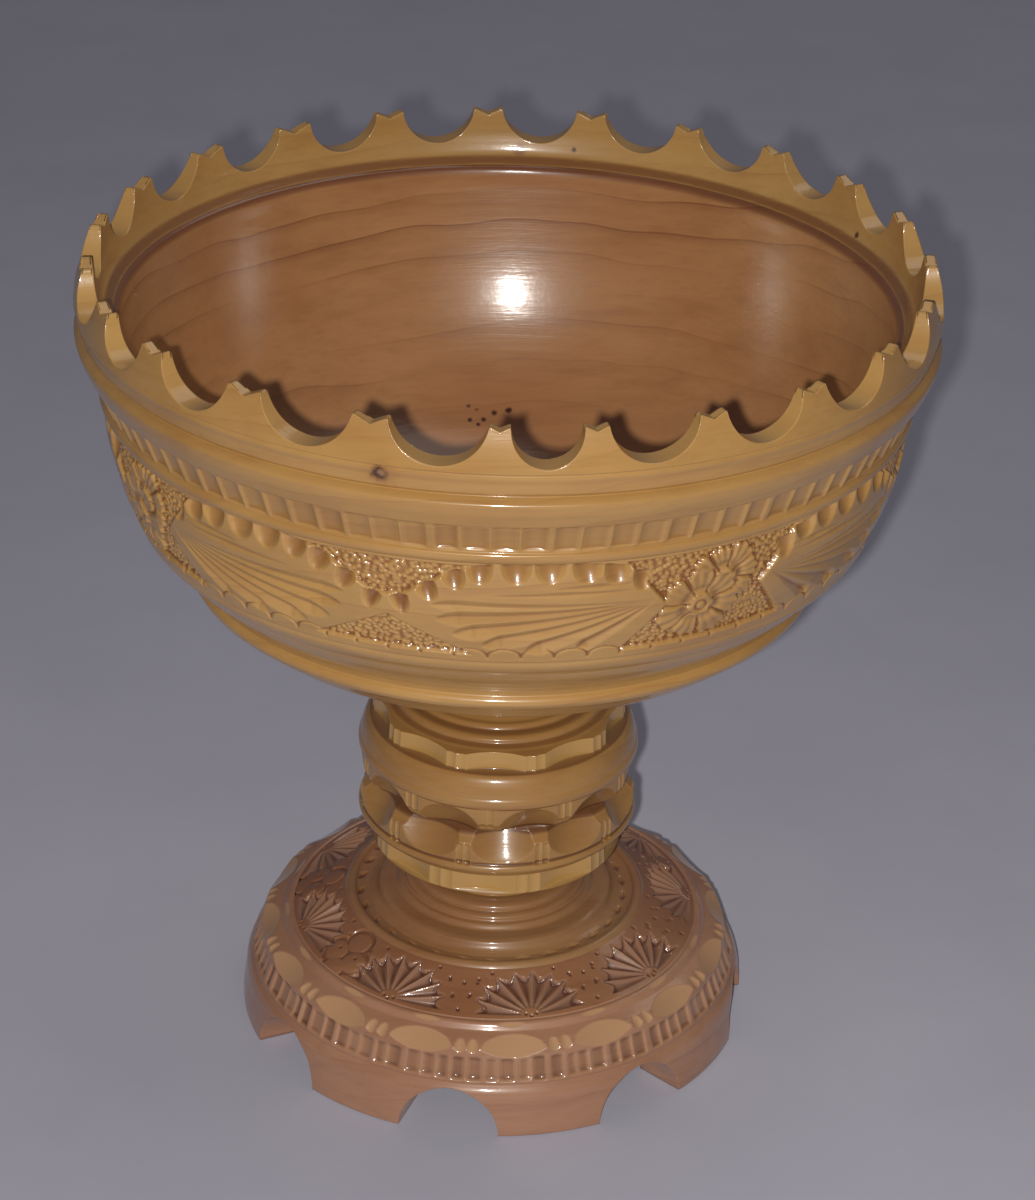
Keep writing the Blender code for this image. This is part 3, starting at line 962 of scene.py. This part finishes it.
class Nodes:
    """A short way to write a material's node tree."""

    def __init__(self, name):
        self.material = bpy.data.materials.new(name)
        self.material.use_nodes = True
        self.tree = self.material.node_tree
        self.shader = self.tree.nodes["Principled BSDF"]

    def add(self, kind, **settings):
        node = self.tree.nodes.new(kind)
        for key, value in settings.items():
            setattr(node, key, value)
        return node

    def link(self, source, target):
        self.tree.links.new(source, target)

    def maths(self, operation, a, b=0.0):
        node = self.add("ShaderNodeMath", operation=operation)
        for socket, value in zip(node.inputs, (a, b)):
            if isinstance(value, (int, float)):
                socket.default_value = value
            else:
                self.link(value, socket)
        return node.outputs[0]

    def ramp(self, source, stops):
        node = self.add("ShaderNodeValToRGB")
        elements = node.color_ramp.elements
        while len(elements) < len(stops):
            elements.new(0.5)
        for element, (place, colour) in zip(elements, stops):
            element.position = place
            element.color = (*colour, 1)
        self.link(source, node.inputs[0])
        return node.outputs[0]

    def blend(self, share, a, b, mode="MIX"):
        node = self.add("ShaderNodeMix", data_type="RGBA", blend_type=mode)
        for socket, value in ((node.inputs[0], share), (node.inputs[6], a), (node.inputs[7], b)):
            if isinstance(value, (int, float)):
                socket.default_value = value
            elif isinstance(value, tuple):
                socket.default_value = (*value[:3], 1)
            else:
                self.link(value, socket)
        return node.outputs[2]

    def noise(self, source, scale, detail=4.0, rough=0.55):
        node = self.add("ShaderNodeTexNoise")
        node.inputs["Scale"].default_value = scale
        node.inputs["Detail"].default_value = detail
        node.inputs["Roughness"].default_value = rough
        self.link(source, node.inputs["Vector"])
        return node.outputs["Fac"]


def lacquered_wood(
    name, light, base, line, groove_shade, cut_tone_and_highlight, layers, ring_gap=0.0075, gloss_spread=0.11, flaws=False
):
    """Clear-lacquered fine-grained wood: level growth layers, fibres, turning lines, and carved ground.

    The grooves of the carving get a painted shade and sharp ridges a painted highlight, the cut facets take
    their own colour, partly the cut wood's tone and partly a painted highlight, and layers is how strongly
    the growth layers show.
    """
    n = Nodes(name)
    place = n.add("ShaderNodeTexCoord").outputs["Object"]
    laid = n.add("ShaderNodeMapping")
    laid.inputs["Rotation"].default_value = (0.16, 0.07, 0.0)
    n.link(place, laid.inputs["Vector"])
    laid = laid.outputs[0]

    stretched = n.add("ShaderNodeMapping")
    stretched.inputs["Scale"].default_value = (0.09, 0.5, 1.0)
    n.link(laid, stretched.inputs["Vector"])
    stretched = stretched.outputs[0]

    rings = n.add("ShaderNodeTexWave", wave_type="BANDS", bands_direction="Z", wave_profile="SAW")
    rings.inputs["Scale"].default_value = 0.314 / ring_gap
    rings.inputs["Distortion"].default_value = 7.5
    rings.inputs["Detail"].default_value = 3.0
    rings.inputs["Detail Scale"].default_value = 0.22
    rings.inputs["Detail Roughness"].default_value = 0.62
    n.link(laid, rings.inputs["Vector"])
    rings = rings.outputs["Fac"]

    clouds = n.noise(laid, 14.0, 3.0)
    fibres = n.noise(stretched, 900.0, 3.0, 0.6)
    streaks = n.noise(stretched, 150.0, 4.0, 0.6)

    colour = n.blend(n.ramp(clouds, ((0.34, (0, 0, 0)), (0.66, (1, 1, 1)))), base, light)
    late_wood = n.ramp(rings, ((0.0, (0, 0, 0)), (0.70, (0.08, 0.08, 0.08)), (0.93, (0.45, 0.45, 0.45)),
                               (0.965, (1, 1, 1)), (1.0, (0.1, 0.1, 0.1))))
    faint = n.ramp(n.noise(stretched, 30.0, 2.0), ((0.38, (0, 0, 0)), (0.62, (1, 1, 1))))
    faint = n.maths("MULTIPLY", faint, layers)
    colour = n.blend(n.maths("MULTIPLY", late_wood, faint), colour, line)
    for pattern, start, end, strength in ((streaks, 0.45, 0.75, 0.30), (fibres, 0.50, 0.80, 0.18)):
        shown = n.ramp(pattern, ((start, (0, 0, 0)), (end, (1, 1, 1))))
        colour = n.blend(n.maths("MULTIPLY", shown, strength), colour, line)
    if flaws:
        colour = dark_flaws(n, place, colour)

    # Cut facets take the cut colour: partly the cut wood's own tone, partly a painted highlight.
    cut_tone_and_highlight_mask = n.add("ShaderNodeAttribute", attribute_name="cut_tone_and_highlight").outputs["Fac"]
    colour = n.blend(n.maths("MULTIPLY", cut_tone_and_highlight_mask, 0.8), colour, cut_tone_and_highlight)
    # Painted shade in the grooves, from the attribute that measures them.
    hollow = n.add("ShaderNodeAttribute", attribute_name="hollow").outputs["Fac"]
    grooves = n.ramp(hollow, ((0.05, (0, 0, 0)), (0.75, (1, 1, 1))))
    colour = n.blend(n.maths("MULTIPLY", grooves, 0.85), colour, groove_shade)
    # Painted highlight along sharp ridges.
    ridges = n.ramp(n.maths("MULTIPLY", hollow, -1.0), ((0.10, (0, 0, 0)), (1.0, (1, 1, 1))))
    colour = n.blend(n.maths("MULTIPLY", ridges, 0.35), colour, light)
    n.link(colour, n.shader.inputs["Base Color"])

    patches = n.noise(laid, 70.0, 4.0, 0.65)
    gloss = n.add("ShaderNodeMapRange")
    gloss.inputs["To Min"].default_value = 0.28
    gloss.inputs["To Max"].default_value = 0.46
    n.link(patches, gloss.inputs["Value"])
    n.link(gloss.outputs[0], n.shader.inputs["Roughness"])

    turning = turning_lines(n, place)
    height = n.maths("ADD", n.maths("MULTIPLY", fibres, 0.5), n.maths("MULTIPLY", patches, 1.2))
    height = n.maths("ADD", height, n.maths("MULTIPLY", turning, 1.1))
    bump = n.add("ShaderNodeBump")
    bump.inputs["Strength"].default_value = 0.5
    bump.inputs["Distance"].default_value = 0.00012
    n.link(height, bump.inputs["Height"])
    n.link(bump.outputs[0], n.shader.inputs["Normal"])
    n.link(bump.outputs[0], n.shader.inputs["Coat Normal"])

    n.shader.inputs["Coat Weight"].default_value = 0.8
    n.shader.inputs["Coat Roughness"].default_value = gloss_spread
    n.shader.inputs["Coat IOR"].default_value = 1.5
    n.shader.inputs["IOR"].default_value = 1.4
    return n.material


def turning_lines(n, place):
    """Fine level ripples that the lathe leaves: noise over radius and height only."""
    split = n.add("ShaderNodeSeparateXYZ")
    n.link(place, split.inputs[0])
    square = n.maths("ADD", n.maths("MULTIPLY", split.outputs[0], split.outputs[0]),
                     n.maths("MULTIPLY", split.outputs[1], split.outputs[1]))
    join = n.add("ShaderNodeCombineXYZ")
    n.link(n.maths("SQRT", square), join.inputs[0])
    n.link(split.outputs[2], join.inputs[2])
    return n.noise(join.outputs[0], 420.0, 3.0, 0.6)


def dark_flaws(n, place, colour):
    """A small knot in the crown, worm holes low down inside the bowl, and two specks."""
    for spot, size, tint, strength in FLAWS:
        offset = n.add("ShaderNodeVectorMath", operation="DISTANCE")
        n.link(place, offset.inputs[0])
        offset.inputs[1].default_value = Vector(spot) * MM
        ragged = n.maths("MULTIPLY", n.noise(place, 700.0, 2.0), size * MM * 0.7)
        far = n.maths("ADD", offset.outputs["Value"], ragged)
        edge = n.maths("SUBTRACT", 1.0, n.maths("DIVIDE", far, size * MM * 1.35))
        mask = n.ramp(n.maths("MULTIPLY", edge, 2.5), ((0.0, (0, 0, 0)), (1.0, (1, 1, 1))))
        colour = n.blend(n.maths("MULTIPLY", mask, strength), colour, tint)
    return colour


def matt_floor():
    n = Nodes("pale_table")
    place = n.add("ShaderNodeTexCoord").outputs["Object"]
    speckle = n.noise(place, 14.0, 5.0, 0.6)
    tint = n.ramp(speckle, ((0.3, (0.48, 0.48, 0.57)), (0.7, (0.52, 0.52, 0.61))))
    n.link(tint, n.shader.inputs["Base Color"])
    n.shader.inputs["Roughness"].default_value = 0.62
    return n.material


# ---------------------------------------------------------------- stage


def camera():
    data = bpy.data.cameras.new("camera")
    data.lens = CAMERA_LENS
    data.clip_start, data.clip_end = 0.05, 20.0
    item = bpy.data.objects.new("camera", data)
    bpy.context.scene.collection.objects.link(item)
    cos_down, sin_down = math.cos(CAMERA_DOWN), math.sin(CAMERA_DOWN)
    ahead = Vector((math.sin(CAMERA_TURN) * cos_down, math.cos(CAMERA_TURN) * cos_down, -sin_down))
    right = Vector((math.cos(CAMERA_TURN), -math.sin(CAMERA_TURN), 0))
    up = right.cross(ahead)
    cos_tilt, sin_tilt = math.cos(CAMERA_TILT), math.sin(CAMERA_TILT)
    tilted_right = right * cos_tilt + up * sin_tilt
    tilted_up = up * cos_tilt - right * sin_tilt
    turned = Matrix((tilted_right, tilted_up, -ahead)).transposed().to_4x4()
    item.matrix_world = Matrix.Translation(CAMERA_PLACE) @ turned
    bpy.context.scene.camera = item


def lamp(name, place, target, size, power, colour):
    data = bpy.data.lights.new(name, "AREA")
    data.shape = "DISK"
    data.size = size
    data.energy = power
    data.color = colour
    item = bpy.data.objects.new(name, data)
    bpy.context.scene.collection.objects.link(item)
    item.location = place
    item.rotation_mode = "QUATERNION"
    item.rotation_quaternion = (Vector(target) - Vector(place)).to_track_quat("-Z", "Y")


def floor():
    size = 3.0
    corners = [(-size, -size, 0), (size, -size, 0), (size, size, 0), (-size, size, 0)]
    mesh = bpy.data.meshes.new("table_top")
    mesh.from_pydata([Vector(c) for c in corners], [], [(0, 1, 2, 3)])
    mesh.materials.append(matt_floor())
    item = bpy.data.objects.new("table_top", mesh)
    bpy.context.scene.collection.objects.link(item)
    item.location.z = FLOOR_HEIGHT * MM - 0.0002


def light_scene():
    world = bpy.context.scene.world or bpy.data.worlds.new("world")
    bpy.context.scene.world = world
    world.use_nodes = True
    sky = world.node_tree.nodes["Background"]
    sky.inputs[0].default_value = (0.86, 0.84, 1.0, 1)
    sky.inputs[1].default_value = 0.09
    lamp("near_lamp", (-0.015, -0.6966, 0.4717), (0, 0, 0.11), 0.010, 4.5, (1.0, 0.97, 0.93))
    lamp("ceiling_soft", (0.5, 0.9, 1.9), (0, 0, 0.1), 1.4, 5.0, (1.0, 0.93, 0.86))
    bpy.context.scene.view_settings.view_transform = "Standard"


camera()
light_scene()
floor()

# Colours in order: light and base wood, growth lines, painted shade for grooves, and the cut colour, partly a
# painted highlight.
HONEY = lacquered_wood(
    "honey_wood", (0.48, 0.275, 0.088), (0.40, 0.215, 0.062), (0.25, 0.095, 0.025), (0.17, 0.055, 0.015),
    (0.54, 0.32, 0.10), 0.35, flaws=True,
)
INSIDE = lacquered_wood(
    "inside_wood", (0.43, 0.215, 0.085), (0.36, 0.16, 0.060), (0.15, 0.045, 0.016), (0.13, 0.035, 0.012),
    (0.43, 0.215, 0.085), 0.75, ring_gap=0.0085, gloss_spread=0.17, flaws=True,
)
STEM = lacquered_wood(
    "stem_wood", (0.43, 0.24, 0.075), (0.34, 0.17, 0.050), (0.20, 0.075, 0.022), (0.11, 0.035, 0.012),
    (0.50, 0.29, 0.085), 0.4,
)
RED = lacquered_wood(
    "red_wood", (0.34, 0.160, 0.075), (0.26, 0.105, 0.048), (0.14, 0.045, 0.020), (0.08, 0.022, 0.011),
    (0.35, 0.20, 0.135), 0.4,
)
COLLAR_WOOD = lacquered_wood(
    "collar_wood", (0.37, 0.205, 0.085), (0.30, 0.125, 0.050), (0.17, 0.060, 0.022), (0.10, 0.030, 0.012),
    (0.42, 0.24, 0.12), 0.4,
)
LEG_WOOD = lacquered_wood(
    "leg_wood", (0.44, 0.235, 0.135), (0.36, 0.170, 0.095), (0.20, 0.070, 0.030), (0.11, 0.035, 0.015),
    (0.52, 0.30, 0.15), 0.4,
)

piece("bowl_rim", bowl_rim(), HONEY, "bowl")
piece("bowl_inside", bowl_inside(), INSIDE, "bowl")
piece("bowl_flutes", flute_band(), HONEY, "bowl")
piece("bowl_frieze", frieze(), HONEY, "bowl")
piece("bowl_underside", lower_bowl(), HONEY, "bowl")
piece("stem_neck", stem_top(), STEM, "stem")
piece("stem_knop", knop(), STEM, "stem")
piece("stem_base", stem_foot(), STEM, "stem")
piece("foot_collar", foot_collar(), COLLAR_WOOD, "foot")
piece("foot_fans", foot_top(), RED, "foot")
piece("foot_edge", foot_edge(), LEG_WOOD, "foot")
piece("foot_legs", foot_skirt(), LEG_WOOD, "foot")
